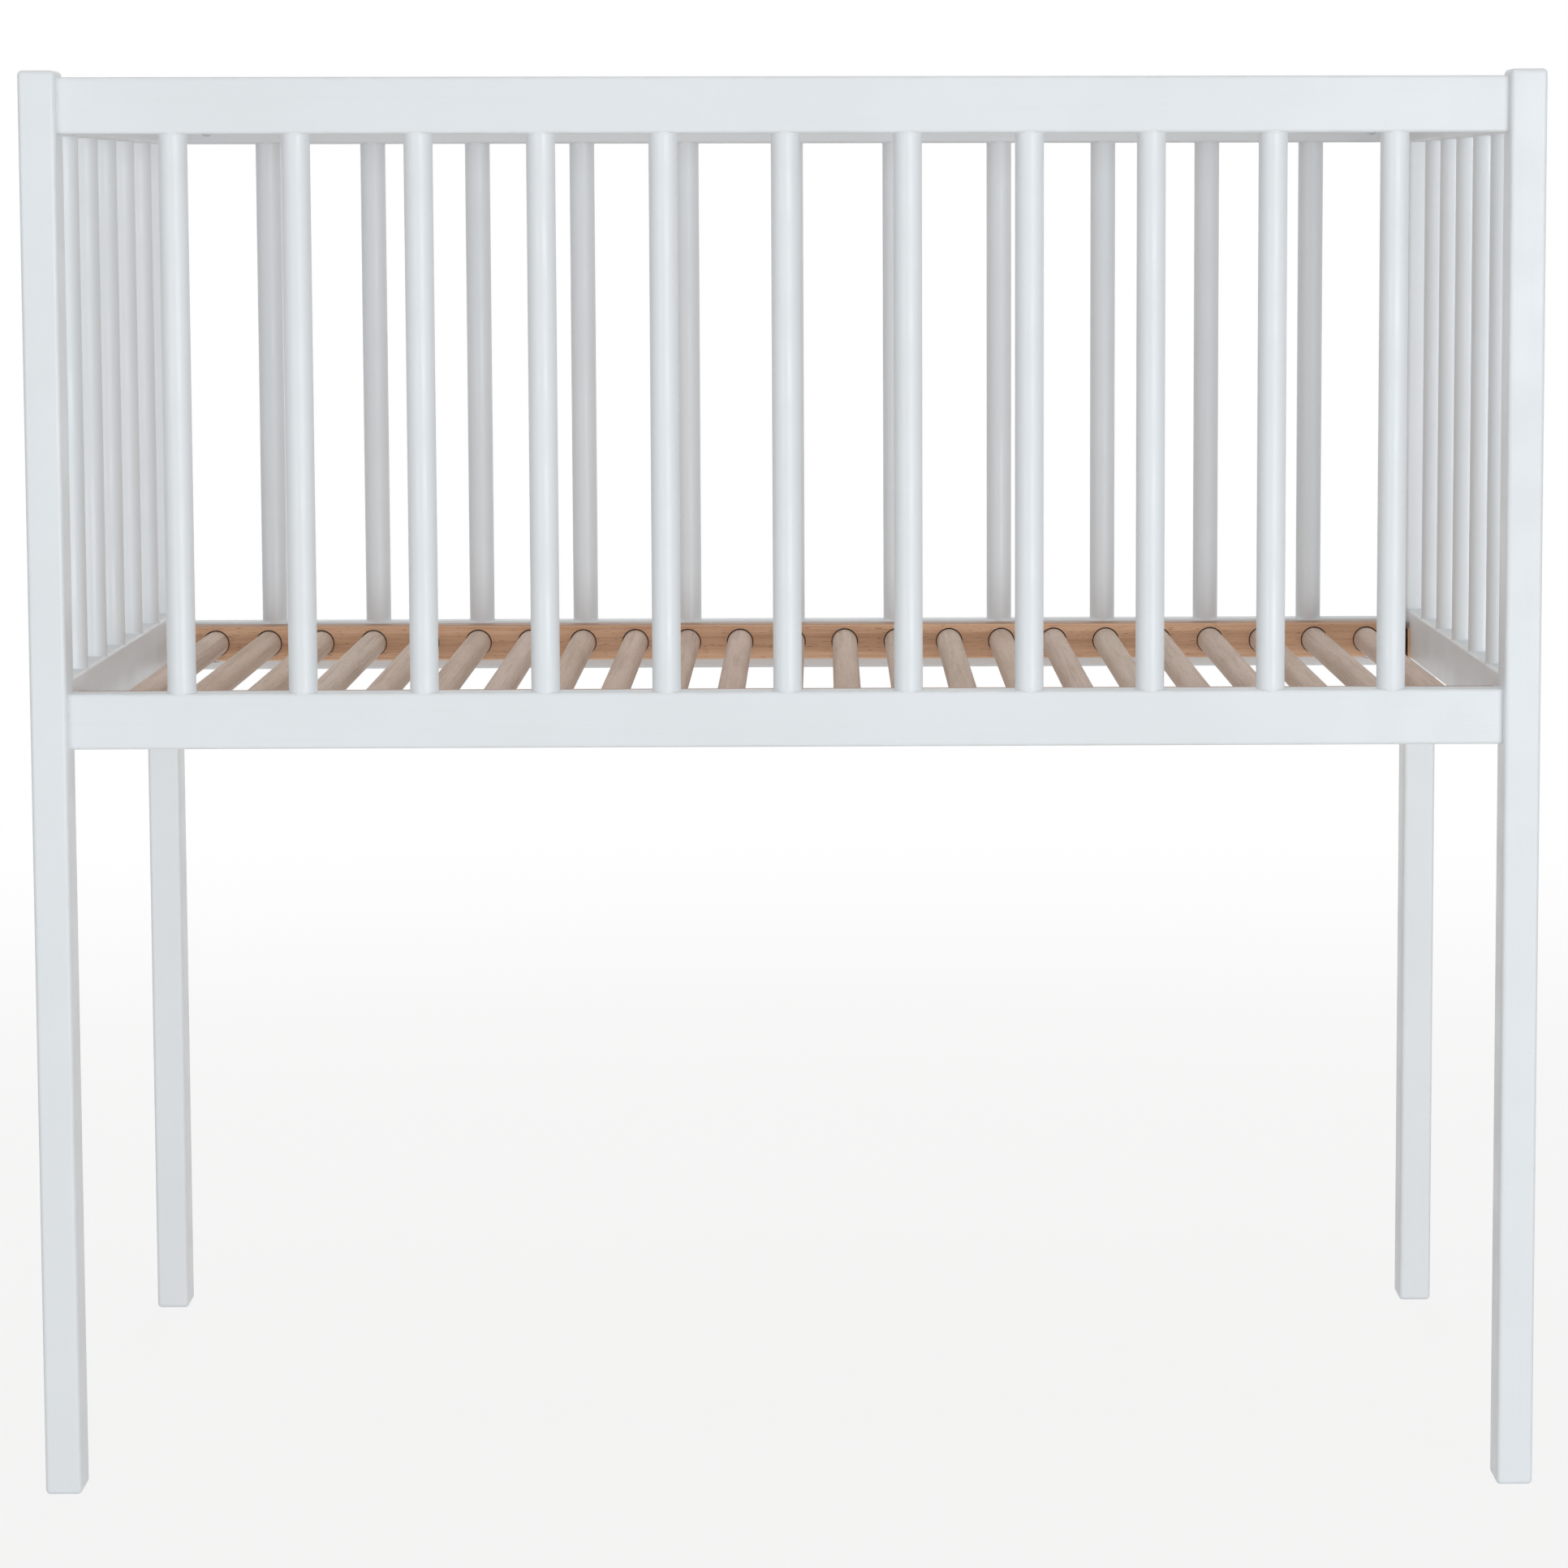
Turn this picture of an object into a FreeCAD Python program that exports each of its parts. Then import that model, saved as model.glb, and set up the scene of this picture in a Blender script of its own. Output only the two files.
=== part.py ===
import FreeCAD, Part
import os
from FreeCAD import Vector

os.makedirs("parts", exist_ok=True)

# Wooden bedside crib, closed on four sides, with a lift-out base of round beech dowels.
# Millimetres. X runs along the crib, Y across it (the front is at -Y), Z up from the floor.
# The origin lies on the floor, in the middle of the footprint.

# ---- Space inside: the mattress is 900 x 500 ----
inner_length = 900.0            # from post to post along the crib
inner_width = 500.0             # between the inner faces of the long rails

# ---- Posts, which are also the legs ----
post_width = 23.0               # along X
post_depth = 32.0               # along Y
post_height = 897.0
post_edge_radius = 3.0

# ---- Rails ----
rail_thickness = 19.0
rail_height = 35.0
rail_edge_radius = 2.0
top_rail_drop = 4.0             # from the top of the posts down to the top rails
long_bottom_rail_top = 510.0    # height of the front and back bottom rails' upper faces
side_rail_raise = 7.0           # the end frames' bottom rails sit this much higher

# ---- Spindles ----
spindle_diameter = 18.0
long_spindle_count = 11
long_spindle_margin = 70.0      # from a post's face to the axis of the nearest spindle
side_spindle_count = 5          # spread so that all clear gaps in an end frame are equal
spindle_tenon_diameter = 12.0
spindle_tenon_length = 15.0
spindle_tenon_end_gap = 0.5

# ---- Slat base ----
base_rail_thickness = 18.0
base_rail_height = 25.5
base_side_clearance = 1.0       # to the long rails
base_end_clearance = 1.5        # to the posts
base_drop = 1.5                 # base rails lie this far below the long bottom rails' tops
base_rail_edge_radius = 1.5
dowel_count = 23
dowel_diameter = 18.0
dowel_end_margin = 28.5         # from a base rail's end to the axis of the nearest dowel
dowel_hole_diameter = 19.0      # drilled wide, so a dark gap shows above each dowel
dowel_hole_depth = 12.0         # the dowels' ends stand on the holes' floors
dowel_seat_gap = 0.3            # left under a dowel in its hole

# ---- Bolted joints between the long panels and the posts ----
bolt_diameter = 6.0
bolt_length = 50.0              # under the head
bolt_head_diameter = 10.0
bolt_head_height = 6.0
bolt_head_chamfer = 0.6
bolt_socket_width = 5.0         # across the flats of the hexagon
bolt_socket_depth = 3.0
bolt_sink = 0.5                 # the head lies this far below the post's outer face
bolt_clearance = 0.4            # around the shank in the wood
counterbore_clearance = 1.0     # around the head
bolt_offset = -7.0              # height of the bolt over the middle of the rail
barrel_nut_diameter = 10.0
barrel_nut_length = 14.0
barrel_nut_inset = 27.0         # from the rail's end to the nut's axis
barrel_nut_clearance = 0.15
barrel_nut_slot_width = 1.6
barrel_nut_slot_depth = 1.2
thread_clearance = 0.1

# ---- Wooden locating pins ----
pin_diameter = 8.0
pin_chamfer = 0.8
pin_clearance = 0.1
pin_end_gap = 0.5
panel_pin_offset = 9.0          # height of the pin over the middle of the rail
panel_pin_depth_in_post = 12.0
panel_pin_depth_in_rail = 18.0
frame_pin_spacing = 18.0        # two pins, one above the other, in each end of a side rail
frame_pin_depth_in_post = 10.0
frame_pin_depth_in_rail = 24.0

# ---- Steel angle brackets under the four ends of the base rails ----
bracket_thickness = 2.0
bracket_width = 18.0
bracket_shelf = 20.0
bracket_height = 23.5
bracket_bend_radius = 1.0
bracket_post_gap = 1.0          # from the post's inner face to the bracket
base_seat_gap = 0.3             # between the base rails and the brackets
screw_diameter = 3.5
screw_head_diameter = 7.0
screw_length = 16.0
screw_spacing = 10.0
screw_clearance = 0.05
screw_recess_width = 1.0
screw_recess_length = 4.0
screw_recess_depth = 0.9

# ---- Places that follow from the sizes above ----
post_axis_x = (inner_length + post_width) / 2
long_rail_axis_y = (inner_width + rail_thickness) / 2
post_axis_y = long_rail_axis_y
post_inner_y = post_axis_y - post_depth / 2
side_rail_length = 2 * post_inner_y
side_rail_inner_x = post_axis_x - rail_thickness / 2
top_rail_top = post_height - top_rail_drop
side_bottom_rail_top = long_bottom_rail_top + side_rail_raise
post_outer_x = post_axis_x + post_width / 2
bolt_seat_x = post_outer_x - bolt_sink - bolt_head_height
barrel_nut_x = inner_length / 2 - barrel_nut_inset
base_top = long_bottom_rail_top - base_drop
base_bottom = base_top - base_rail_height
base_rail_length = inner_length - 2 * base_end_clearance
base_rail_axis_y = inner_width / 2 - base_side_clearance - base_rail_thickness / 2
base_rail_inner_y = base_rail_axis_y - base_rail_thickness / 2
dowel_hole_z = (base_top + base_bottom) / 2
dowel_z = dowel_hole_z - (dowel_hole_diameter - dowel_diameter) / 2 + dowel_seat_gap
bracket_top = base_bottom - base_seat_gap
bracket_axis_y = post_inner_y - bracket_post_gap - bracket_width / 2
bracket_hook_x = side_rail_inner_x - bracket_thickness
screw_z = side_bottom_rail_top - rail_height / 2

X = Vector(1, 0, 0)
Y = Vector(0, 1, 0)
Z = Vector(0, 0, 1)
SIDES = (-1, 1)


def spread(count, first, last):
    """Evenly spaced places from first to last."""
    if count == 1:
        return [(first + last) / 2]
    return [first + (last - first) * i / (count - 1) for i in range(count)]


def block(center, size):
    """A box given by its middle and its three sizes."""
    corner = Vector(center) - Vector(size) * 0.5
    return Part.makeBox(size.x, size.y, size.z, corner)


def round_edges(solid, radius, direction=None):
    """Round the straight edges that run along a direction, or all of them."""
    edges = []
    for edge in solid.Edges:
        run = edge.Vertexes[-1].Point - edge.Vertexes[0].Point
        run.normalize()
        if direction is None or abs(run.dot(direction)) > 0.99:
            edges.append(edge)
    return solid.makeFillet(radius, edges)


def rod(start, direction, length, diameter):
    """A round bar from a point along a direction."""
    return Part.makeCylinder(diameter / 2, length, start, direction)


def hole(start, direction, depth, diameter, overshoot=1.0):
    """A drilled hole: a round cutter that starts outside the face."""
    return rod(start - direction * overshoot, direction, depth + overshoot, diameter)


def save(name, shape):
    """Write one node, as a solid or as a group of separate solids."""
    if isinstance(shape, list):
        shape = Part.makeCompound(shape)
    shape.exportStep("parts/" + name + ".step")


# ---- Where everything goes ----

def long_spindle_places():
    reach = inner_length / 2 - long_spindle_margin
    return spread(long_spindle_count, -reach, reach)


def side_spindle_places():
    gaps = side_spindle_count + 1
    clear_gap = (side_rail_length - side_spindle_count * spindle_diameter) / gaps
    reach = side_rail_length / 2 - clear_gap - spindle_diameter / 2
    return spread(side_spindle_count, -reach, reach)


def dowel_places():
    reach = base_rail_length / 2 - dowel_end_margin
    return spread(dowel_count, -reach, reach)


def long_rail_middles():
    """Heights of the middles of a long panel's two rails."""
    return (long_bottom_rail_top - rail_height / 2, top_rail_top - rail_height / 2)


def side_rail_middles():
    """Heights of the middles of an end frame's two rails."""
    return (side_bottom_rail_top - rail_height / 2, top_rail_top - rail_height / 2)


def bolt_holes(sx, sy):
    """Holes of both bolts and both panel pins at one corner, through post and rail ends."""
    inward = X * -sx
    cuts = []
    for middle in long_rail_middles():
        bolt_z = middle + bolt_offset
        outer = Vector(sx * post_outer_x, sy * long_rail_axis_y, bolt_z)
        head_depth = bolt_sink + bolt_head_height
        cuts.append(hole(outer, inward, head_depth, bolt_head_diameter + 2 * counterbore_clearance))
        cuts.append(hole(outer, inward, head_depth + bolt_length + pin_end_gap,
                         bolt_diameter + 2 * bolt_clearance))
        pin_start = Vector(sx * (inner_length / 2 + panel_pin_depth_in_post + pin_end_gap),
                           sy * long_rail_axis_y, middle + panel_pin_offset)
        pin_run = panel_pin_depth_in_post + panel_pin_depth_in_rail + 2 * pin_end_gap
        cuts.append(rod(pin_start, inward, pin_run, pin_diameter + 2 * pin_clearance))
    return cuts


def frame_pin_holes(sx, sy):
    """Holes of the four pins that join one post to its two side rails."""
    cuts = []
    for middle in side_rail_middles():
        for dz in (-frame_pin_spacing / 2, frame_pin_spacing / 2):
            start = Vector(sx * post_axis_x,
                           sy * (post_inner_y + frame_pin_depth_in_post + pin_end_gap), middle + dz)
            run = frame_pin_depth_in_post + frame_pin_depth_in_rail + 2 * pin_end_gap
            cuts.append(rod(start, Y * -sy, run, pin_diameter + 2 * pin_clearance))
    return cuts


def screw_places(sx, sy):
    """Axis points of the two screws of one bracket, on its inner face."""
    x = sx * bracket_hook_x
    return [Vector(x, sy * bracket_axis_y + dy, screw_z) for dy in (-screw_spacing / 2, screw_spacing / 2)]


# ---- Posts ----

def post(sx, sy):
    center = Vector(sx * post_axis_x, sy * post_axis_y, post_height / 2)
    body = block(center, Vector(post_width, post_depth, post_height))
    body = round_edges(body, post_edge_radius)
    return body.cut(bolt_holes(sx, sy) + frame_pin_holes(sx, sy))


# ---- Rails of the long panels ----

def long_rail(sy, middle, opens_up):
    body = block(Vector(0, sy * long_rail_axis_y, middle), Vector(inner_length, rail_thickness, rail_height))
    body = round_edges(body, rail_edge_radius, X)
    cuts = bolt_holes(-1, sy) + bolt_holes(1, sy)
    nut_depth = (rail_thickness + barrel_nut_length) / 2 + barrel_nut_clearance
    for sx in SIDES:
        mouth = Vector(sx * barrel_nut_x, sy * (long_rail_axis_y - rail_thickness / 2), middle + bolt_offset)
        cuts.append(hole(mouth, Y * sy, nut_depth, barrel_nut_diameter + 2 * barrel_nut_clearance))
    for x in long_spindle_places():
        cuts.append(tenon_hole(Vector(x, sy * long_rail_axis_y, middle), opens_up))
    return body.cut(cuts)


def tenon_hole(rail_middle, opens_up):
    """Socket for a spindle's turned end, in the upper or lower face of a rail."""
    side = 1 if opens_up else -1
    mouth = rail_middle + Z * (side * rail_height / 2)
    depth = spindle_tenon_length + spindle_tenon_end_gap
    return hole(mouth, Z * -side, depth, spindle_tenon_diameter + 2 * pin_clearance)


# ---- Rails of the end frames ----

def side_rail(sx, middle, opens_up):
    body = block(Vector(sx * post_axis_x, 0, middle), Vector(rail_thickness, side_rail_length, rail_height))
    body = round_edges(body, rail_edge_radius, Y)
    cuts = frame_pin_holes(sx, -1) + frame_pin_holes(sx, 1)
    for y in side_spindle_places():
        cuts.append(tenon_hole(Vector(sx * post_axis_x, y, middle), opens_up))
    if opens_up:
        for sy in SIDES:
            for place in screw_places(sx, sy):
                cuts.append(hole(place, X * sx, screw_length, screw_diameter + 2 * screw_clearance))
    return body.cut(cuts)


# ---- Spindles ----

def spindle(x, y, middles):
    low = middles[0] + rail_height / 2
    high = middles[1] - rail_height / 2
    bar = rod(Vector(x, y, low), Z, high - low, spindle_diameter)
    tenon = rod(Vector(x, y, low - spindle_tenon_length), Z,
                high - low + 2 * spindle_tenon_length, spindle_tenon_diameter)
    return bar.fuse(tenon).removeSplitter()


# ---- Slat base ----

def base_rail(sy):
    center = Vector(0, sy * base_rail_axis_y, (base_top + base_bottom) / 2)
    body = block(center, Vector(base_rail_length, base_rail_thickness, base_rail_height))
    body = round_edges(body, base_rail_edge_radius, X)
    cuts = []
    for x in dowel_places():
        mouth = Vector(x, sy * base_rail_inner_y, dowel_hole_z)
        cuts.append(hole(mouth, Y * sy, dowel_hole_depth, dowel_hole_diameter))
    return body.cut(cuts)


def dowel(x):
    reach = base_rail_inner_y + dowel_hole_depth
    return rod(Vector(x, -reach, dowel_z), Y, 2 * reach, dowel_diameter)


# ---- Fasteners ----

def connector_bolt(sx, sy, middle):
    """Cylinder-head bolt with a hexagon socket, head in the post's counterbore."""
    inward = X * -sx
    seat = Vector(sx * bolt_seat_x, sy * long_rail_axis_y, middle + bolt_offset)
    head = rod(seat, inward * -1, bolt_head_height, bolt_head_diameter)
    rims = [edge for edge in head.Edges if edge.isClosed()]
    outer_rim = max(rims, key=lambda edge: abs(edge.CenterOfMass.x))
    head = head.makeChamfer(bolt_head_chamfer, [outer_rim])
    shank = rod(seat, inward, bolt_length, bolt_diameter)
    corner_radius = bolt_socket_width / 3 ** 0.5
    face_x = sx * (bolt_seat_x + bolt_head_height)
    hexagon = Part.makePolygon([Vector(face_x, *corner) for corner in hexagon_corners(seat, corner_radius)])
    socket = Part.Face(hexagon).extrude(inward * bolt_socket_depth)
    return head.fuse(shank).removeSplitter().cut(socket)


def hexagon_corners(center, radius):
    """Corners of a closed hexagon around an axis along X, as pairs of Y and Z."""
    turn = FreeCAD.Rotation(X, 60)
    arm = Vector(0, radius, 0)
    corners = []
    for _ in range(7):
        corners.append((center.y + arm.y, center.z + arm.z))
        arm = turn.multVec(arm)
    return corners


def barrel_nut(sx, sy, middle):
    """Cross nut in the rail, slotted at the mouth so that it can be turned to the bolt."""
    center = Vector(sx * barrel_nut_x, sy * long_rail_axis_y, middle + bolt_offset)
    start = center - Y * (sy * barrel_nut_length / 2)
    body = rod(start, Y * sy, barrel_nut_length, barrel_nut_diameter)
    thread = rod(center - X * barrel_nut_diameter, X, 2 * barrel_nut_diameter,
                 bolt_diameter + 2 * thread_clearance)
    slot = block(start, Vector(2 * barrel_nut_diameter, 2 * barrel_nut_slot_depth, barrel_nut_slot_width))
    return body.cut([thread, slot])


def wooden_pin(start, direction, length):
    """Round hardwood pin with chamfered ends."""
    bar = rod(start, direction, length, pin_diameter)
    rims = [edge for edge in bar.Edges if edge.isClosed()]
    return bar.makeChamfer(pin_chamfer, rims)


def panel_pin(sx, sy, middle):
    start = Vector(sx * (inner_length / 2 + panel_pin_depth_in_post), sy * long_rail_axis_y,
                   middle + panel_pin_offset)
    return wooden_pin(start, X * -sx, panel_pin_depth_in_post + panel_pin_depth_in_rail)


def frame_pin(sx, sy, height):
    start = Vector(sx * post_axis_x, sy * (post_inner_y + frame_pin_depth_in_post), height)
    return wooden_pin(start, Y * -sy, frame_pin_depth_in_post + frame_pin_depth_in_rail)


def bracket(sx, sy):
    """Bent steel angle: one leg on the side rail, the other a shelf for the base rail's end."""
    t = bracket_thickness
    inner = bracket_hook_x - bracket_shelf + t
    leg_bottom = bracket_top - t
    leg_top = leg_bottom + bracket_height
    outline = [(side_rail_inner_x, leg_bottom), (inner, leg_bottom), (inner, bracket_top),
               (bracket_hook_x, bracket_top), (bracket_hook_x, leg_top), (side_rail_inner_x, leg_top)]
    y = sy * bracket_axis_y - bracket_width / 2
    wire = Part.makePolygon([Vector(sx * px, y, pz) for px, pz in outline + outline[:1]])
    solid = Part.Face(wire).extrude(Y * bracket_width)
    inside = edge_at(solid, Vector(sx * bracket_hook_x, y, bracket_top))
    solid = solid.makeFillet(bracket_bend_radius, [inside])
    outside = edge_at(solid, Vector(sx * side_rail_inner_x, y, leg_bottom))
    solid = solid.makeFillet(bracket_bend_radius + t / 2, [outside])
    return solid.cut([screw_cutter(place, sx) for place in screw_places(sx, sy)])


def edge_at(solid, point):
    """The edge along Y that passes through a point."""
    for edge in solid.Edges:
        ends = [vertex.Point for vertex in edge.Vertexes]
        run = ends[-1] - ends[0]
        near = min((end - point).Length for end in ends)
        if near < 1e-6 and abs(run.y) > 1e-6 and abs(run.x) + abs(run.z) < 1e-6:
            return edge


def screw_solid(place, sx, grow):
    """Countersunk screw along X, its head flush with the bracket, grown by a clearance."""
    out = X * sx
    cone_depth = (screw_head_diameter - screw_diameter) / 2
    cone = Part.makeCone(screw_head_diameter / 2 + grow, screw_diameter / 2 + grow, cone_depth, place, out)
    shank = rod(place, out, screw_length, screw_diameter + 2 * grow)
    return cone.fuse(shank)


def screw_cutter(place, sx):
    return screw_solid(place, sx, screw_clearance)


def bracket_screw(place, sx):
    """The screw itself, with a cross recess in its head."""
    solid = screw_solid(place, sx, 0.0).removeSplitter()
    for size in (Vector(2 * screw_recess_depth, screw_recess_length, screw_recess_width),
                 Vector(2 * screw_recess_depth, screw_recess_width, screw_recess_length)):
        solid = solid.cut(block(place, size))
    return solid


# ---- Write the nodes ----

END_NAMES = {-1: "left", 1: "right"}
LONG_NAMES = {-1: "front", 1: "back"}

for sx in SIDES:
    for sy in SIDES:
        save(LONG_NAMES[sy] + "_" + END_NAMES[sx] + "_post", post(sx, sy))

for sy in SIDES:
    low_middle, high_middle = long_rail_middles()
    save(LONG_NAMES[sy] + "_bottom_rail", long_rail(sy, low_middle, True))
    save(LONG_NAMES[sy] + "_top_rail", long_rail(sy, high_middle, False))
    for number, x in enumerate(long_spindle_places(), 1):
        place = (x, sy * long_rail_axis_y)
        save("%s_spindle_%02d" % (LONG_NAMES[sy], number), spindle(*place, long_rail_middles()))

for sx in SIDES:
    low_middle, high_middle = side_rail_middles()
    save(END_NAMES[sx] + "_bottom_rail", side_rail(sx, low_middle, True))
    save(END_NAMES[sx] + "_top_rail", side_rail(sx, high_middle, False))
    for number, y in enumerate(side_spindle_places(), 1):
        place = (sx * post_axis_x, y)
        save("%s_spindle_%02d" % (END_NAMES[sx], number), spindle(*place, side_rail_middles()))

save("base_front_rail", base_rail(-1))
save("base_back_rail", base_rail(1))
save("base_dowels", [dowel(x) for x in dowel_places()])

corners = [(sx, sy) for sx in SIDES for sy in SIDES]
joints = [(sx, sy, middle) for sx, sy in corners for middle in long_rail_middles()]
save("connector_bolts", [connector_bolt(*joint) for joint in joints])
save("barrel_nuts", [barrel_nut(*joint) for joint in joints])
save("panel_pins", [panel_pin(*joint) for joint in joints])

frame_pins = []
for sx, sy in corners:
    for middle in side_rail_middles():
        for dz in (-frame_pin_spacing / 2, frame_pin_spacing / 2):
            frame_pins.append(frame_pin(sx, sy, middle + dz))
save("frame_pins", frame_pins)

save("base_brackets", [bracket(sx, sy) for sx, sy in corners])
save("bracket_screws", [bracket_screw(place, sx) for sx, sy in corners for place in screw_places(sx, sy)])
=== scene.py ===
import math

import bmesh
import bpy
from mathutils import Matrix, Vector


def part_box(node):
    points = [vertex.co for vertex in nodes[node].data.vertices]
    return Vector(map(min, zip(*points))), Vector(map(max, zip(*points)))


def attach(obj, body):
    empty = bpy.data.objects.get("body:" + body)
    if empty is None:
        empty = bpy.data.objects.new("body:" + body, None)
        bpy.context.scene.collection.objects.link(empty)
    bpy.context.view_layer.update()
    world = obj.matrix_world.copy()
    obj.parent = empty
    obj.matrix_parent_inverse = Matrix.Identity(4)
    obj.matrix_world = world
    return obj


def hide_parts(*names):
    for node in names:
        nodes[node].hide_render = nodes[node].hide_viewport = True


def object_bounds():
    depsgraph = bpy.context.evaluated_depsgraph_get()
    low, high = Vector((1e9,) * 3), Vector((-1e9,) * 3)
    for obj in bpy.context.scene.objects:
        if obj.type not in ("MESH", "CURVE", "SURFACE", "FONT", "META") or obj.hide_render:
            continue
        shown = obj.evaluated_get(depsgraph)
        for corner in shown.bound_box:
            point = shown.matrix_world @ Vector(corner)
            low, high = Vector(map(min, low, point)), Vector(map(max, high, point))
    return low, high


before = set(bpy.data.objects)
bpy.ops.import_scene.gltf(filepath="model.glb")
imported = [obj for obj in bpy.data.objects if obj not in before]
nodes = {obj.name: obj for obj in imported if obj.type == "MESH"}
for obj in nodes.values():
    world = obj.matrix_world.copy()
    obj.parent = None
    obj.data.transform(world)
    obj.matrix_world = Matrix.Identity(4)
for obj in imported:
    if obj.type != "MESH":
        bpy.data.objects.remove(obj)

cad_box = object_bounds()
scene = bpy.context.scene
scene.view_settings.view_transform = "Standard"


# ---- Camera: it stands in front of the crib, slightly right of its middle and just under
# the height of the top rails, with a long lens. The lens is shifted as the framing needs.
frame_px = 1932
focal_px = 5927.9
centre_px = Vector((1127.3, 848.5))
camera_place = Vector((0.0222, -3.2715, 0.8159))
yaw, pitch, roll = 0.0192, -0.1010, -0.0019

ahead = Vector((math.sin(yaw) * math.cos(pitch), math.cos(yaw) * math.cos(pitch),
                math.sin(pitch)))
level = Vector((math.cos(yaw), -math.sin(yaw), 0))
upright = level.cross(ahead)
right = math.cos(roll) * level + math.sin(roll) * upright
upward = math.cos(roll) * upright - math.sin(roll) * level
lens = bpy.data.cameras.new("camera")
lens.sensor_width = 36
lens.lens = lens.sensor_width * focal_px / frame_px
lens.shift_x = 0.5 - centre_px.x / frame_px
lens.shift_y = centre_px.y / frame_px - 0.5
lens.clip_end = 100
camera = bpy.data.objects.new("camera", lens)
turned = Matrix((right, upward, -ahead)).transposed().to_4x4()
camera.matrix_world = Matrix.Translation(camera_place) @ turned
scene.collection.objects.link(camera)
scene.camera = camera


# ---- Floor: a plain white studio floor. It takes the crib's soft shadow near the middle
# and fades into the white surroundings further out.
floor_size = 60.0
shadow_reach = 1.0              # metres from the middle, where the shadow is kept whole
fade_reach = 3.2                # metres from the middle, where the floor is as white as the air
floor_glow = 0.80               # share of plain white in what is seen of the floor near the crib
floor_grey = (0.90, 0.90, 0.90, 1)


def link(tree, *pairs):
    """Join outputs to inputs, given as pairs of sockets."""
    for output, target in pairs:
        tree.links.new(output, target)


def in_sight(tree):
    """1 where a thing is seen straight or in a gloss, and 0 where it only lights the others."""
    seen = tree.nodes.new("ShaderNodeLightPath")
    either = tree.nodes.new("ShaderNodeMath")
    either.operation = "MAXIMUM"
    link(tree, (seen.outputs["Is Camera Ray"], either.inputs[0]),
         (seen.outputs["Is Glossy Ray"], either.inputs[1]))
    return either.outputs["Value"]


bpy.ops.object.select_all(action="DESELECT")
bpy.ops.mesh.primitive_plane_add(size=floor_size)
floor = bpy.context.object
floor.name = "floor"
floor_paint = bpy.data.materials.new("white studio floor")
floor_paint.use_nodes = True
tree = floor_paint.node_tree
tree.nodes.remove(tree.nodes["Principled BSDF"])
matt = tree.nodes.new("ShaderNodeBsdfDiffuse")
matt.inputs["Color"].default_value = floor_grey
white = tree.nodes.new("ShaderNodeEmission")
place = tree.nodes.new("ShaderNodeTexCoord")
distance = tree.nodes.new("ShaderNodeVectorMath")
distance.operation = "LENGTH"
fade = tree.nodes.new("ShaderNodeMapRange")
fade.interpolation_type = "SMOOTHSTEP"
fade.inputs["From Min"].default_value = shadow_reach
fade.inputs["From Max"].default_value = fade_reach
fade.inputs["To Min"].default_value = floor_glow
share = tree.nodes.new("ShaderNodeMath")
share.operation = "MULTIPLY"
blend = tree.nodes.new("ShaderNodeMixShader")
link(tree, (place.outputs["Object"], distance.inputs[0]),
     (distance.outputs["Value"], fade.inputs["Value"]),
     (fade.outputs["Result"], share.inputs[0]),
     (in_sight(tree), share.inputs[1]),
     (share.outputs["Value"], blend.inputs["Fac"]),
     (matt.outputs["BSDF"], blend.inputs[1]),
     (white.outputs["Emission"], blend.inputs[2]),
     (blend.outputs["Shader"], tree.nodes["Material Output"].inputs["Surface"]))
floor.data.materials.append(floor_paint)


# ---- Light: an even white room, two large soft lamps in front of the crib, one above and one
# behind. The right one is the strongest, so the round spindles are a little darker on their left.
room_strength = 0.425
room_colour = (1.0, 0.975, 0.95, 1)
lamps = {
    # place, width, height, watts, colour
    "right": (Vector((2.9, -6.5, 0.62)), 3.4, 1.1, 172.0, (0.89, 0.95, 1.0)),
    "left": (Vector((-3.3, -6.5, 0.62)), 3.4, 1.1, 76.0, (0.89, 0.95, 1.0)),
    "above": (Vector((0.0, 0.0, 4.4)), 3.4, 3.4, 20.0, (1.0, 0.975, 0.95)),
    "behind": (Vector((0.0, 6.0, 2.3)), 2.4, 2.4, 100.0, (0.97, 0.98, 1.0)),
}

room = bpy.data.worlds.new("white room")
scene.world = room
room.use_nodes = True
tree = room.node_tree
air = tree.nodes["Background"]
air.inputs["Color"].default_value = room_colour
air.inputs["Strength"].default_value = room_strength
backdrop = tree.nodes.new("ShaderNodeBackground")
backdrop.inputs["Color"].default_value = (1, 1, 1, 1)
blend = tree.nodes.new("ShaderNodeMixShader")
link(tree, (in_sight(tree), blend.inputs["Fac"]),
     (air.outputs["Background"], blend.inputs[1]),
     (backdrop.outputs["Background"], blend.inputs[2]),
     (blend.outputs["Shader"], tree.nodes["World Output"].inputs["Surface"]))

crib_middle = (Vector(cad_box[0]) + Vector(cad_box[1])) / 2
for side, (place, width, height, watts, colour) in lamps.items():
    light = bpy.data.lights.new("soft lamp " + side, "AREA")
    light.shape = "RECTANGLE"
    light.size = width
    light.size_y = height
    light.energy = watts
    light.color = colour
    lamp = bpy.data.objects.new("soft lamp " + side, light)
    lamp.visible_glossy = side != "behind"      # that one only fills, and shows in no gloss
    aim = (crib_middle - place).to_track_quat("-Z", "Y").to_matrix().to_4x4()
    lamp.matrix_world = Matrix.Translation(place) @ aim
    scene.collection.objects.link(lamp)


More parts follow.
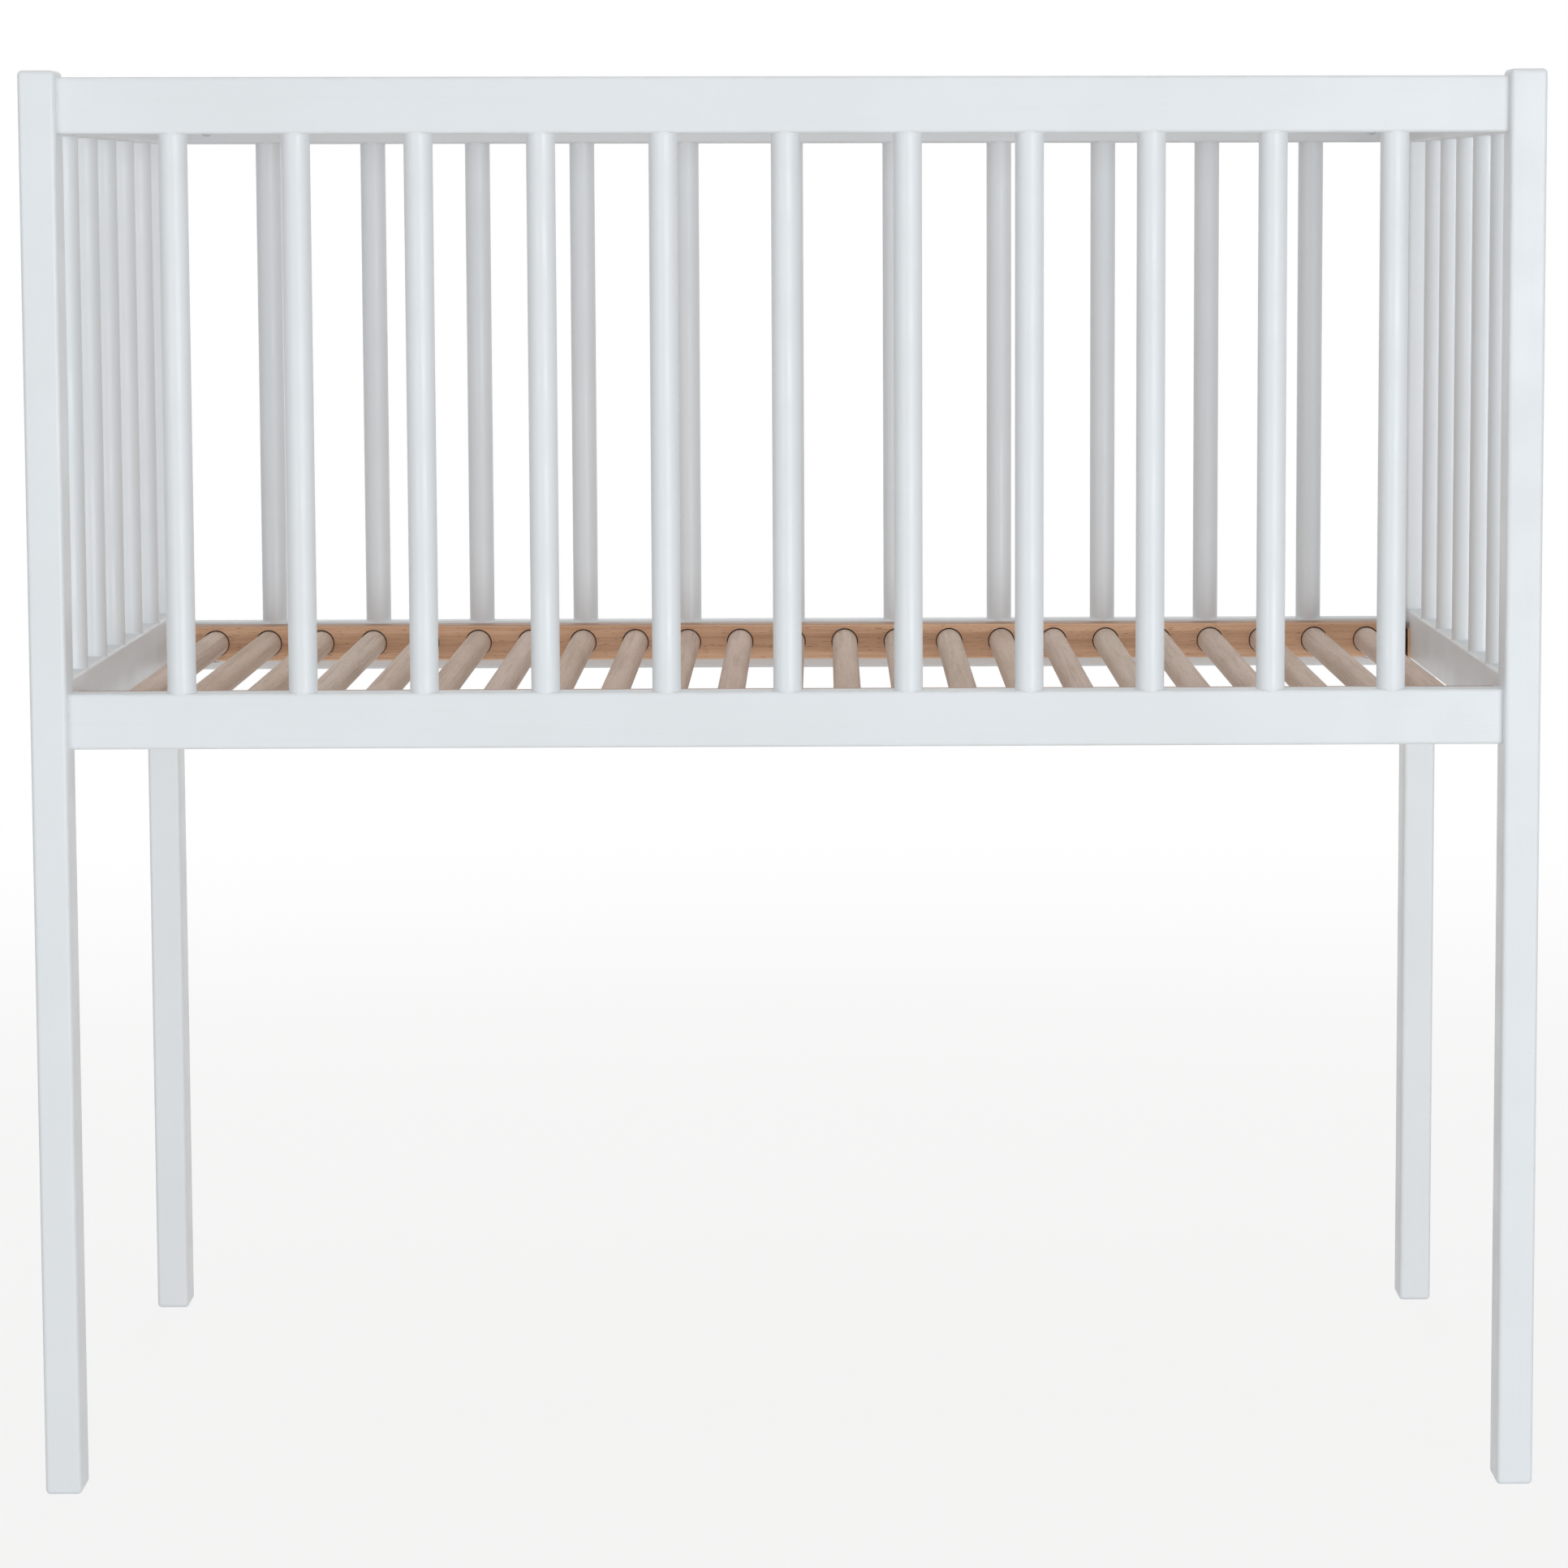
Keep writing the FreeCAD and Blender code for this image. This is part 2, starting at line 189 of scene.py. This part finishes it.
# ---- Legs and rails: planed beech, rounded over along the edges and sprayed with satin
# white paint. The paint is a little uneven, lets the grain through and thins at the edges.
paint_white = (0.80, 0.825, 0.845, 1)
paint_shade = (0.765, 0.785, 0.80, 1)
thin_paint = (0.70, 0.69, 0.66, 1)
edge_width = 0.0022             # how far from an edge the paint is thin
edge_core = 0.2                 # share of such a width, at the edge itself, that is fully worn
edge_thinning = 0.40            # how much of the thin paint's tone shows there at most
paint_squeeze = 38.0            # the grain under the paint is so many times narrower than long
peel_depth = 0.00004
grain_depth = 0.00007


def blank(name):
    """A new material, its node tree, its shader and the place on the object that is shaded."""
    material = bpy.data.materials.new(name)
    material.use_nodes = True
    tree = material.node_tree
    place = tree.nodes.new("ShaderNodeTexCoord").outputs["Object"]
    return material, tree, tree.nodes["Principled BSDF"], place


def grain_along(axis, squeeze):
    """Scales for a pattern that runs along the axis 0, 1 or 2, so many times narrower across."""
    return [1.0 if way == axis else squeeze for way in range(3)]


def noise(tree, vector, scale, detail=3.0, roughness=0.5, stretch=(1, 1, 1)):
    """A noise pattern on a vector, stretched along its axes. Returns its value socket."""
    spread = tree.nodes.new("ShaderNodeMapping")
    spread.inputs["Scale"].default_value = stretch
    pattern = tree.nodes.new("ShaderNodeTexNoise")
    pattern.inputs["Scale"].default_value = scale
    pattern.inputs["Detail"].default_value = detail
    pattern.inputs["Roughness"].default_value = roughness
    link(tree, (vector, spread.inputs["Vector"]),
         (spread.outputs["Vector"], pattern.inputs["Vector"]))
    return pattern.outputs["Fac"]


def remap(tree, value, low, high, to_low=0.0, to_high=1.0):
    """Spread a value between two limits, with soft ends."""
    step = tree.nodes.new("ShaderNodeMapRange")
    step.interpolation_type = "SMOOTHSTEP"
    step.inputs["From Min"].default_value = low
    step.inputs["From Max"].default_value = high
    step.inputs["To Min"].default_value = to_low
    step.inputs["To Max"].default_value = to_high
    link(tree, (value, step.inputs["Value"]))
    return step.outputs["Result"]


def math_node(tree, operation, first, second=0.0):
    """Arithmetic on one or two sockets, or on a socket and a number."""
    step = tree.nodes.new("ShaderNodeMath")
    step.operation = operation
    for socket, value in zip(step.inputs, (first, second)):
        if isinstance(value, (int, float)):
            socket.default_value = value
        else:
            link(tree, (value, socket))
    return step.outputs["Value"]


def tint(tree, share, first, second):
    """Mix two colours, or two colour sockets, by a share."""
    step = tree.nodes.new("ShaderNodeMix")
    step.data_type = "RGBA"
    link(tree, (share, step.inputs["Factor"]))
    for socket, value in ((step.inputs["A"], first), (step.inputs["B"], second)):
        if isinstance(value, tuple):
            socket.default_value = value
        else:
            link(tree, (value, socket))
    return step.outputs["Result"]


def stain(tree, colour, other, pattern, start, full, most):
    """Lay another colour over a colour: none where the pattern is at start, most at full."""
    return tint(tree, remap(tree, pattern, start, full, 0.0, most), colour, other)


def relief(tree, height, depth, normal=None):
    """A bump of so many metres from a height between 0 and 1."""
    step = tree.nodes.new("ShaderNodeBump")
    step.inputs["Distance"].default_value = depth
    link(tree, (height, step.inputs["Height"]))
    if normal is not None:
        link(tree, (normal, step.inputs["Normal"]))
    return step.outputs["Normal"]


def coat(tree, shader, colour, roughness, normal):
    """Lead a colour, a roughness and a relief into the shader."""
    link(tree, (colour, shader.inputs["Base Color"]), (roughness, shader.inputs["Roughness"]),
         (normal, shader.inputs["Normal"]))


def near_edges(tree, place, low, high, width):
    """1 along a box's edges and 0 on its faces, from places in the box's own frame."""
    centre = tree.nodes.new("ShaderNodeVectorMath")
    centre.operation = "SUBTRACT"
    centre.inputs[1].default_value = (low + high) / 2
    size = tree.nodes.new("ShaderNodeVectorMath")
    size.operation = "ABSOLUTE"
    depth = tree.nodes.new("ShaderNodeVectorMath")
    depth.operation = "SUBTRACT"
    depth.inputs[1].default_value = (high - low) / 2
    parts = tree.nodes.new("ShaderNodeSeparateXYZ")
    link(tree, (place, centre.inputs[0]), (centre.outputs[0], size.inputs[0]),
         (size.outputs[0], depth.inputs[0]), (depth.outputs[0], parts.inputs[0]))
    near = [remap(tree, part, -width, -width * edge_core) for part in parts.outputs]
    pairs = [math_node(tree, "MULTIPLY", near[i], near[j]) for i, j in ((0, 1), (1, 2), (0, 2))]
    return math_node(tree, "MAXIMUM", math_node(tree, "MAXIMUM", pairs[0], pairs[1]), pairs[2])


def white_paint(name, along, box=None):
    """Satin white paint over wood whose grain runs along the axis 0, 1 or 2."""
    paint, tree, shader, place = blank(name)
    grain = noise(tree, place, scale=7.0, detail=4.0, roughness=0.65,
                  stretch=grain_along(along, paint_squeeze))
    clouds = noise(tree, place, scale=9.0, detail=2.0)
    peel = noise(tree, place, scale=620.0, detail=1.0)
    smears = noise(tree, place, scale=26.0)
    colour = stain(tree, paint_white, paint_shade, clouds, start=0.35, full=0.70, most=0.45)
    colour = stain(tree, colour, paint_shade, grain, start=0.52, full=0.78, most=0.35)
    if box is not None:
        patches = remap(tree, noise(tree, place, scale=55.0), low=0.40, high=0.68)
        edge = math_node(tree, "MULTIPLY", near_edges(tree, place, *box, edge_width), patches)
        colour = tint(tree, math_node(tree, "MULTIPLY", edge, edge_thinning), colour, thin_paint)
    coat(tree, shader, colour,
         roughness=remap(tree, smears, low=0.30, high=0.70, to_low=0.36, to_high=0.48),
         normal=relief(tree, grain, grain_depth, relief(tree, peel, peel_depth)))
    return paint


def dress(name, material):
    """Give a CAD node a finish."""
    nodes[name].data.materials.clear()
    nodes[name].data.materials.append(material)


for name in nodes:
    if name.endswith("_post"):
        dress(name, white_paint("paint on " + name, 2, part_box(name)))
    elif name.endswith("_rail") and not name.startswith("base_"):
        run = 0 if name.startswith(("front", "back")) else 1
        dress(name, white_paint("paint on " + name, run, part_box(name)))


# ---- Spindles: turned beech rods, glued into blind holes in the rails and painted with
# them. The paint closes the joint, so each foot flares a little and has no open line.
spindle_radius = 0.009
spindle_sides = 64
foot_flare = 0.00025            # how far the paint spreads around a foot
foot_height = 0.0012            # how far up it reaches
foot_sink = 0.0009              # how deep the foot goes into the rail's rounded edge
foot_steps = ((0.6, 0.3), (0.4, 0.7))       # shares of its height and spread, from the rod on
smooth_angle = math.radians(40)

spindle_paint = white_paint("paint on spindles", 2)


def pick_end(mesh, way):
    """Select just the face that closes a rod at its top (1) or bottom (-1), in edit mode."""
    for part in list(mesh.verts) + list(mesh.edges) + list(mesh.faces):
        part.select_set(False)
    for face in mesh.faces:
        if face.normal.z * way > 0.9:
            face.select_set(True)
    mesh.select_flush_mode()


def model_spindle(name, x, y, low, high):
    """One rod between two rails, with a flared foot of paint at each end."""
    grow = (spindle_radius + foot_flare) / spindle_radius
    bpy.ops.object.select_all(action="DESELECT")
    bpy.ops.mesh.primitive_cylinder_add(
        vertices=spindle_sides, radius=spindle_radius,
        depth=high - low - 2 * foot_height, location=(x, y, (low + high) / 2))
    rod = bpy.context.object
    rod.name = name
    bpy.ops.object.transform_apply(location=True)
    bpy.ops.object.mode_set(mode="EDIT")
    bpy.ops.mesh.select_mode(type="FACE")
    for way, end in ((1, high), (-1, low)):
        pick_end(bmesh.from_edit_mesh(rod.data), way)
        for rise, spread in foot_steps:
            wider = 1 + (grow - 1) * spread
            bpy.ops.mesh.extrude_region_move(
                TRANSFORM_OT_translate={"value": (0, 0, way * foot_height * rise)})
            bpy.ops.transform.resize(value=(wider, wider, 1), center_override=(x, y, end))
        bpy.ops.mesh.extrude_region_move(
            TRANSFORM_OT_translate={"value": (0, 0, way * foot_sink)})
    bpy.ops.object.mode_set(mode="OBJECT")
    bpy.ops.object.shade_smooth_by_angle(angle=smooth_angle)
    return rod


def copy_spindle(first, name, offset):
    """Another rod like the first, with a mesh of its own, so far away from it."""
    bpy.ops.object.select_all(action="DESELECT")
    first.select_set(True)
    bpy.context.view_layer.objects.active = first
    bpy.ops.object.duplicate_move(TRANSFORM_OT_translate={"value": offset})
    rod = bpy.context.object
    rod.name = name
    bpy.ops.object.transform_apply(location=True)
    return rod


for sides in (("front", "back"), ("left", "right")):
    first = None
    for name in [name for name in nodes if "_spindle_" in name and name.startswith(sides)]:
        low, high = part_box(name)
        x, y = (low.x + high.x) / 2, (low.y + high.y) / 2
        if first is None:
            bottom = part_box(sides[0] + "_bottom_rail")[1].z
            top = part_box(sides[0] + "_top_rail")[0].z
            rod = first = model_spindle("painted_" + name, x, y, bottom, top)
            first_x, first_y = x, y
        else:
            rod = copy_spindle(first, "painted_" + name, (x - first_x, y - first_y, 0))
        rod.data.materials.clear()
        rod.data.materials.append(spindle_paint)
        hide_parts(name)
        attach(rod, "crib_frame")


# ---- Base rails: steamed beech, planed and oiled, with the grain along the rail. Small dark
# flecks cross the faces, the arrises are sanded paler and the ends are darker. The upper faces
# are darker as painted shade.
beech_dark = (0.60, 0.330, 0.195, 1)
beech_mid = (0.81, 0.500, 0.312, 1)
beech_light = (0.89, 0.620, 0.420, 1)
beech_fleck = (0.27, 0.125, 0.070, 1)
beech_end = (0.30, 0.160, 0.095, 1)
# the tone of the painted shade on the upper faces
beech_painted_shade = (0.25, 0.135, 0.090, 1)
# near black: painted shade in the dowel bores
bore_painted_shade = (0.055, 0.030, 0.020, 1)
arris_width = 0.0020            # how far from an arris the wood is sanded paler
arris_paling = 0.45             # how much of the pale tone shows there
fibre_depth = 0.00006
band_depth = 0.00010
dowel_pitch = 0.84 / 22         # the middle bore is in the middle of the rail
bore_radius = 0.0095
bore_margin = 0.0002            # the painted shade of the bores reaches so far past the bore's edge
outer_skin = 0.003              # wood along the outer face that keeps its own tone


def in_bores(tree, place, box):
    """1 inside the blind bores for the dowels, whose cut end grain is painted near black as
    shade.
    """
    low, high = box
    parts = tree.nodes.new("ShaderNodeSeparateXYZ")
    link(tree, (place, parts.inputs[0]))
    nearest = math_node(tree, "ROUND", math_node(tree, "DIVIDE", parts.outputs["X"], dowel_pitch))
    beside = math_node(tree, "SUBTRACT", parts.outputs["X"],
                       math_node(tree, "MULTIPLY", nearest, dowel_pitch))
    above = math_node(tree, "SUBTRACT", parts.outputs["Z"], (low.z + high.z) / 2)
    square = math_node(tree, "ADD", math_node(tree, "MULTIPLY", beside, beside),
                       math_node(tree, "MULTIPLY", above, above))
    inside = math_node(tree, "LESS_THAN", square, (bore_radius + bore_margin) ** 2)
    outer_face = max(abs(low.y), abs(high.y))
    reached = math_node(tree, "LESS_THAN", math_node(tree, "ABSOLUTE", parts.outputs["Y"]),
                        outer_face - outer_skin)
    return math_node(tree, "MULTIPLY", inside, reached)


def beech(name, box):
    """Oiled steamed beech with its grain along X, for a rail that fills this box."""
    wood, tree, shader, place = blank(name)
    bands = noise(tree, place, scale=4.0, detail=4.0, roughness=0.6, stretch=grain_along(0, 30))
    lines = noise(tree, place, scale=8.0, detail=4.0, roughness=0.7, stretch=grain_along(0, 60))
    streaks = noise(tree, place, scale=18.0, roughness=0.7, stretch=grain_along(0, 70))
    flecks = noise(tree, place, scale=150.0, detail=1.0, stretch=grain_along(0, 8))
    fibres = noise(tree, place, scale=90.0, detail=2.0, stretch=grain_along(0, 22))
    facing = tree.nodes.new("ShaderNodeSeparateXYZ")
    link(tree, (tree.nodes.new("ShaderNodeNewGeometry").outputs["True Normal"], facing.inputs[0]))
    end = math_node(tree, "ABSOLUTE", facing.outputs["X"])
    arris = near_edges(tree, place, *box, arris_width)
    colour = stain(tree, beech_dark, beech_mid, bands, start=0.30, full=0.62, most=1.0)
    colour = stain(tree, colour, beech_dark, lines, start=0.50, full=0.30, most=0.65)
    colour = stain(tree, colour, beech_light, streaks, start=0.45, full=0.72, most=0.55)
    colour = stain(tree, colour, beech_fleck, flecks, start=0.64, full=0.72, most=0.55)
    colour = tint(tree, math_node(tree, "MULTIPLY", arris, arris_paling), colour, beech_light)
    # painted shade: faces that point upwards are darkened towards this tone
    colour = stain(tree, colour, beech_painted_shade, facing.outputs["Z"], start=0.5, full=0.9, most=0.70)
    colour = stain(tree, colour, beech_end, end, start=0.6, full=0.95, most=0.8)
    # painted shade: the bores around the dowels are painted near black
    colour = tint(tree, in_bores(tree, place, box), colour, bore_painted_shade)
    coat(tree, shader, colour,
         roughness=remap(tree, streaks, low=0.30, high=0.70, to_low=0.42, to_high=0.56),
         normal=relief(tree, fibres, fibre_depth, relief(tree, bands, band_depth)))
    return wood


for name in ("base_front_rail", "base_back_rail"):
    dress(name, beech("oiled beech on " + name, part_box(name)))


# ---- Base dowels: turned hardwood rods, sanded and left bare, glued into the base rails.
# Each comes from another board, so their tones differ, and their grain runs along them.
dowel_pink = (0.665, 0.495, 0.420, 1)
dowel_grey = (0.695, 0.575, 0.490, 1)
dowel_gold = (0.645, 0.500, 0.390, 1)
dowel_dark = (0.46, 0.335, 0.260, 1)
dowel_pore = (0.30, 0.200, 0.150, 1)
gold_share = 0.8                # how golden a dowel can be at most
board_shift = 1.7               # metres of grain between one dowel and the next
dowel_fibre_depth = 0.00008
dowel_pore_depth = 0.00005

bare, tree, shader, place = blank("bare turned hardwood")
across = tree.nodes.new("ShaderNodeSeparateXYZ")
link(tree, (place, across.inputs[0]))
number = math_node(tree, "ROUND", math_node(tree, "DIVIDE", across.outputs["X"], dowel_pitch))
board = tree.nodes.new("ShaderNodeTexWhiteNoise")
board.noise_dimensions = "1D"
link(tree, (number, board.inputs["W"]))
board_parts = tree.nodes.new("ShaderNodeSeparateColor")
link(tree, (board.outputs["Color"], board_parts.inputs["Color"]))
shifted = tree.nodes.new("ShaderNodeCombineXYZ")
moved = math_node(tree, "ADD", across.outputs["Y"],
                  math_node(tree, "MULTIPLY", number, board_shift))
link(tree, (across.outputs["X"], shifted.inputs["X"]), (moved, shifted.inputs["Y"]),
     (across.outputs["Z"], shifted.inputs["Z"]))
own_place = shifted.outputs["Vector"]
mottle = noise(tree, own_place, scale=60.0, roughness=0.6, stretch=(1, 0.10, 1))
rings = noise(tree, own_place, scale=6.0, detail=4.0, roughness=0.65, stretch=grain_along(1, 55))
fibres = noise(tree, own_place, scale=26.0, detail=4.0, roughness=0.7, stretch=grain_along(1, 50))
pores = noise(tree, own_place, scale=210.0, detail=1.0, stretch=grain_along(1, 8))
golden = math_node(tree, "MULTIPLY", board_parts.outputs["Green"], gold_share)
colour = tint(tree, board_parts.outputs["Red"], dowel_pink, dowel_grey)
colour = tint(tree, golden, colour, dowel_gold)
colour = stain(tree, colour, dowel_dark, mottle, start=0.45, full=0.70, most=0.28)
colour = stain(tree, colour, dowel_dark, rings, start=0.50, full=0.34, most=0.50)
colour = stain(tree, colour, dowel_dark, fibres, start=0.48, full=0.30, most=0.45)
colour = stain(tree, colour, dowel_pore, pores, start=0.63, full=0.72, most=0.60)
coat(tree, shader, colour,
     roughness=remap(tree, mottle, low=0.30, high=0.70, to_low=0.66, to_high=0.80),
     normal=relief(tree, fibres, dowel_fibre_depth, relief(tree, pores, dowel_pore_depth)))
dress("base_dowels", bare)


# ---- Steel fittings: turned bolts and cross nuts in bright zinc plate, with a slightly blue,
# uneven sheen. The bent brackets and their countersunk screws are yellow passivated zinc.
platings = {
    # bright tone, dull tone, fittings
    "bright zinc plate": ((0.60, 0.61, 0.62, 1), (0.50, 0.53, 0.58, 1),
                          ("connector_bolts", "barrel_nuts")),
    "yellow passivated zinc": ((0.70, 0.50, 0.32, 1), (0.58, 0.40, 0.26, 1),
                               ("base_brackets", "bracket_screws")),
}
scratch_depth = 0.00001

for plating, (bright, dull, fittings) in platings.items():
    zinc, tree, shader, place = blank(plating)
    shader.inputs["Metallic"].default_value = 1.0
    sheen = noise(tree, place, scale=140.0)
    scratches = noise(tree, place, scale=900.0, detail=2.0, stretch=(1, 0.2, 1))
    coat(tree, shader, stain(tree, bright, dull, sheen, start=0.35, full=0.65, most=1.0),
         roughness=remap(tree, sheen, low=0.30, high=0.70, to_low=0.26, to_high=0.40),
         normal=relief(tree, scratches, scratch_depth))
    for name in fittings:
        dress(name, zinc)


# ---- Wooden pins: fluteless hardwood pins that locate the rails on the legs. The joints
# hide them; they are seen only where the crib is taken apart.
pin_pale = (0.62, 0.47, 0.31, 1)
pin_brown = (0.46, 0.32, 0.20, 1)
pin_roughness = 0.7
pin_squeeze = 14.0
pin_streak_depth = 0.00008

for name, along in (("panel_pins", 0), ("frame_pins", 1)):
    pin_wood, tree, shader, place = blank("hardwood of " + name)
    shader.inputs["Roughness"].default_value = pin_roughness
    streaks = noise(tree, place, scale=40.0, stretch=grain_along(along, pin_squeeze))
    colour = stain(tree, pin_pale, pin_brown, streaks, start=0.35, full=0.70, most=1.0)
    link(tree, (colour, shader.inputs["Base Color"]),
         (relief(tree, streaks, pin_streak_depth), shader.inputs["Normal"]))
    dress(name, pin_wood)
